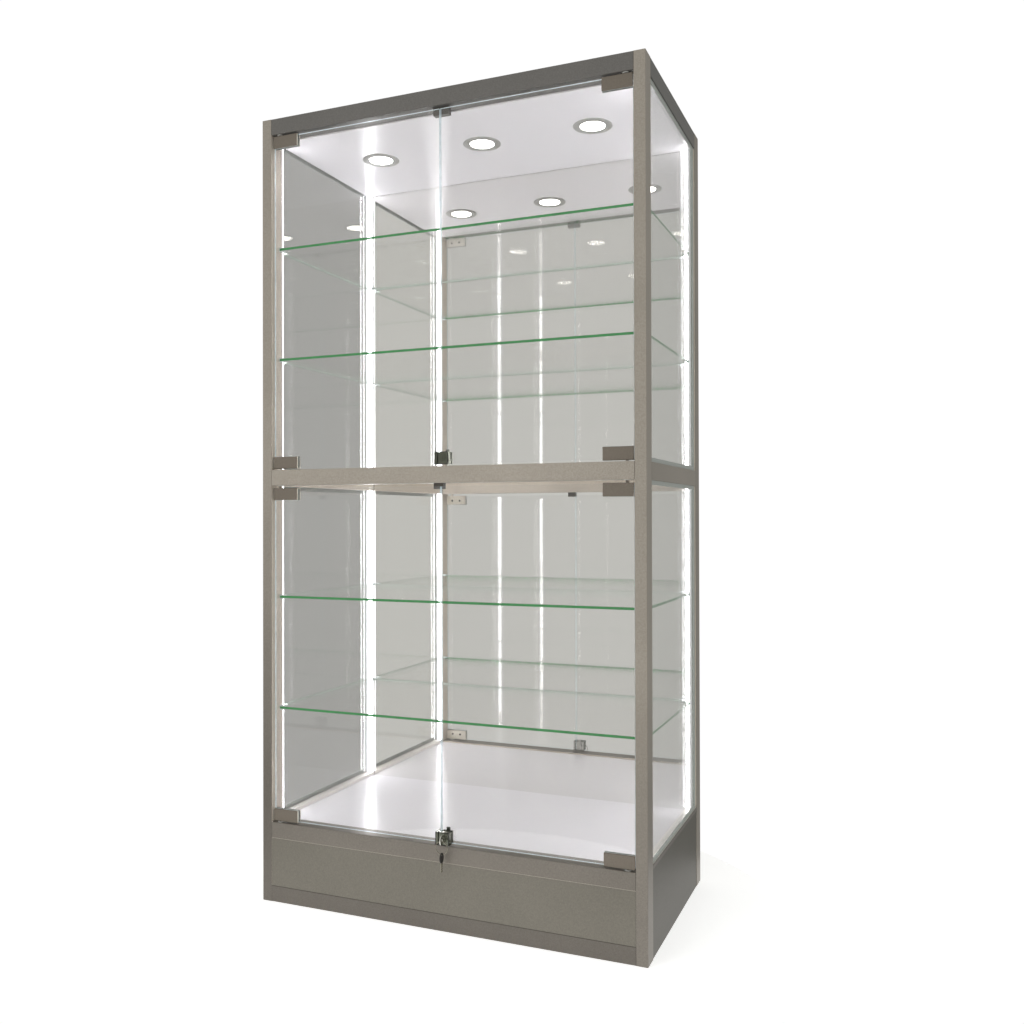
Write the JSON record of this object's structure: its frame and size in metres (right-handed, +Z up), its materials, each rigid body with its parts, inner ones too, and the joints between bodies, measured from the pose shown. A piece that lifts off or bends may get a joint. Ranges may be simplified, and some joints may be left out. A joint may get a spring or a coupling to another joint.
{
  "type": "glass display case",
  "caption": "Upright free-standing glass showcase with an aluminium frame, mirror back, glass shelves, lit corners and hinged glass doors with key locks.",
  "frame": {"origin": "middle of the footprint, on the ground", "axes": "+X to the right of someone facing the doors, -Y out of the doors, +Z up"},
  "size_m": [1, 0.5757, 1.98],
  "materials": {
    "frame": "satin champagne powder coat",
    "plinth": "satin champagne powder coat",
    "clamp": "satin nickel",
    "clear_glass": "clear float, polished edges",
    "shelf_glass": "clear float, polished green edges",
    "mirror": "silvered",
    "backing": "raw fibreboard",
    "white_board": "gloss white laminate",
    "gasket": "grey glazing rubber",
    "channel": "anodised",
    "tape": "lit white lamp tape",
    "lamp_ring": "satin",
    "lamp_lens": "lit opal lens",
    "lamp_can": "cast, plain",
    "driver": "moulded",
    "gland": "black rubber",
    "clip": "clear moulded",
    "stop": "dark moulded",
    "bush": "white nylon",
    "lock": "polished",
    "key": "nickel"
  },
  "bodies": {
    "root": {"post_front_left": "frame", "post_front_right": "frame", "post_rear_left": "frame", "post_rear_right": "frame", "top_rail_front": "frame", "top_rail_rear": "frame", "top_rail_left": "frame", "top_rail_right": "frame", "mid_rail_front": "frame", "mid_rail_left": "frame", "mid_rail_right": "frame", "base_rail_front": "frame", "base_rail_rear": "frame", "skirt_rail_front": "frame", "side_sills": "frame", "kick_panel_front": "plinth", "plinth_panel_rear": "plinth", "plinth_panel_left": "plinth", "plinth_panel_right": "plinth", "top_cover": "plinth", "side_glass_left": "clear_glass", "side_glass_right": "clear_glass", "shelf_1": "shelf_glass", "shelf_2": "shelf_glass", "shelf_3": "shelf_glass", "shelf_4": "shelf_glass", "mirror_back": "mirror", "back_board": "backing", "floor_panel": "white_board", "ceiling_panel": "white_board", "glazing_gaskets": "gasket", "led_channels": "channel", "led_tapes": "tape", "downlight_trims": "lamp_ring", "downlight_lenses": "lamp_lens", "downlight_cans": "lamp_can", "led_driver": "driver", "cable_gland": "gland", "shelf_clips": "clip", "door_stops": "stop", "pivot_bushes": "bush"},
    "door_upper_left": {"door_glass_upper_left": "clear_glass", "hinge_clamps_upper_left": "clamp", "strike_upper": "lock"},
    "door_upper_right": {"door_glass_upper_right": "clear_glass", "hinge_clamps_upper_right": "clamp", "lock_case_upper": "lock"},
    "lock_upper": {"lock_plug_upper": "lock", "lock_cam_upper": "lock"},
    "door_lower_left": {"door_glass_lower_left": "clear_glass", "hinge_clamps_lower_left": "clamp", "strike_lower": "lock"},
    "door_lower_right": {"door_glass_lower_right": "clear_glass", "hinge_clamps_lower_right": "clamp", "lock_case_lower": "lock"},
    "lock_lower": {"lock_plug_lower": "lock", "lock_cam_lower": "lock", "key": "key"},
    "spare_keys": {"key_ring": "key", "spare_key": "key"}
  },
  "joints": [
    {"name": "door_upper_left_swing", "type": "hinge", "parent": "root", "child": "door_upper_left", "pos_m": [-0.453, -0.263, 1.515], "axis": [0, 0, -1], "range_deg": [0, 110]},
    {"name": "door_upper_right_swing", "type": "hinge", "parent": "root", "child": "door_upper_right", "pos_m": [0.453, -0.263, 1.515], "axis": [0, 0, 1], "range_deg": [0, 110]},
    {"name": "lock_upper_turn", "type": "hinge", "parent": "door_upper_right", "child": "lock_upper", "pos_m": [0.014, -0.2655, 1.108], "axis": [0, -1, 0], "range_deg": [0, 90]},
    {"name": "door_lower_left_swing", "type": "hinge", "parent": "root", "child": "door_lower_left", "pos_m": [-0.453, -0.263, 0.625], "axis": [0, 0, -1], "range_deg": [0, 110]},
    {"name": "door_lower_right_swing", "type": "hinge", "parent": "root", "child": "door_lower_right", "pos_m": [0.453, -0.263, 0.625], "axis": [0, 0, 1], "range_deg": [0, 110]},
    {"name": "lock_lower_turn", "type": "hinge", "parent": "door_lower_right", "child": "lock_lower", "pos_m": [0.014, -0.2655, 0.218], "axis": [0, -1, 0], "range_deg": [0, 90]},
    {"name": "spare_keys_swing", "type": "hinge", "parent": "lock_lower", "child": "spare_keys", "pos_m": [0.014, -0.2917, 0.2162], "axis": [-1, 0, 0], "range_deg": [-5, 75]}
  ]
}
